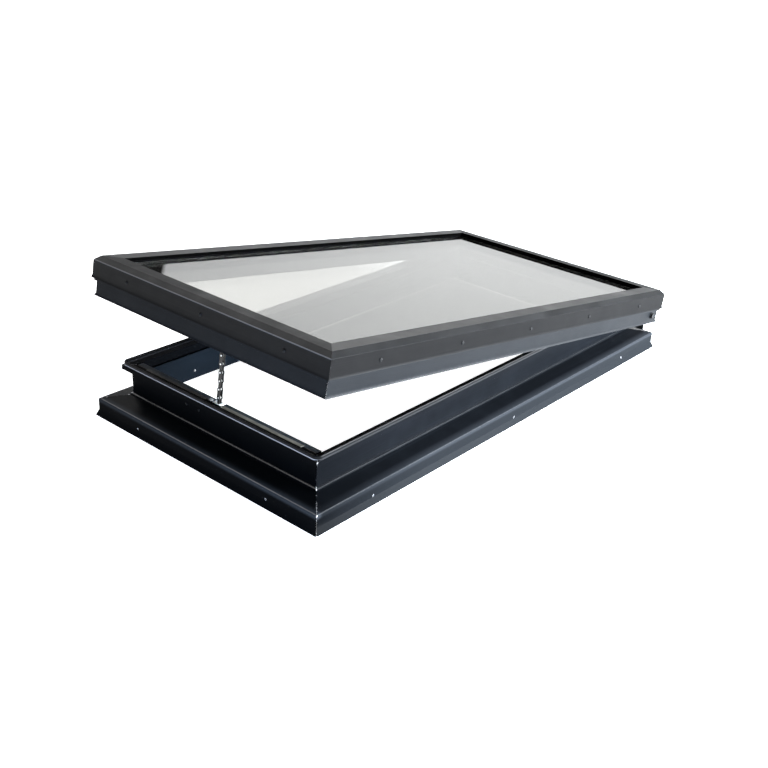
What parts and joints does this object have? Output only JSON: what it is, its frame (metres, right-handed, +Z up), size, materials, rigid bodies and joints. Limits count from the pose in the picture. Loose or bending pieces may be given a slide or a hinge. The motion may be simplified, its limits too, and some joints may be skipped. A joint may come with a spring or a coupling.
{
  "type": "roof skylight",
  "caption": "Opening roof skylight: a flared metal kerb with a rim seal, and a double-glazed sash hinged at the rear and held open by a chain drive.",
  "frame": {"origin": "middle of the kerb's outline, on the plane of the skirt's bottom edge", "axes": "+Z up, +Y toward the hinge end, +X to the right when the hinge is at the back"},
  "size_m": [0.683, 1.293, 0.3615],
  "materials": {
    "powder_coat": "graphite powder coat",
    "mill_aluminium": "mill finish",
    "rubber": "matte",
    "steel": "zinc plated",
    "white_plastic": "moulded",
    "dark_plastic": "moulded",
    "glass": "clear float"
  },
  "bodies": {
    "kerb": {"kerb_front": "powder_coat", "kerb_rear": "powder_coat", "kerb_left": "powder_coat", "kerb_right": "powder_coat", "kerb_corner_cleats": "mill_aluminium", "rim_seal_corners": "rubber", "rim_seal_runs": "rubber", "motor_cover": "powder_coat", "ledge_strips": "mill_aluminium", "actuator_housing": "mill_aluminium", "actuator_end_caps": "dark_plastic", "drive_motor": "steel", "drive_sprocket": "steel", "sprocket_shaft": "steel", "chain_guide": "white_plastic", "chain_outer_links": "steel", "chain_inner_links": "steel", "actuator_screws": "steel", "cable_gland": "dark_plastic", "hinge_brackets": "steel", "bracket_screws": "steel"},
    "sash": {"sash_front": "powder_coat", "sash_rear": "powder_coat", "sash_left": "powder_coat", "sash_right": "powder_coat", "sash_corner_plates": "mill_aluminium", "cap_front": "powder_coat", "cap_rear": "powder_coat", "cap_left": "powder_coat", "cap_right": "powder_coat", "cap_screws": "steel", "cap_gasket": "rubber", "outer_pane": "glass", "inner_pane": "glass", "spacer_bars": "mill_aluminium", "edge_sealant": "rubber", "glazing_tape": "rubber", "setting_blocks": "dark_plastic", "hinge_bolts": "steel", "hinge_bushes": "white_plastic", "hinge_nuts": "steel", "chain_bracket": "steel", "bracket_pin": "steel"}
  },
  "joints": [
    {"name": "sash_hinge", "type": "hinge", "parent": "kerb", "child": "sash", "pos_m": [0, 0.607, 0.097], "axis": [1, 0, 0], "range_deg": [0, 9.25], "deforming": ["chain_outer_links", "chain_inner_links"]}
  ]
}
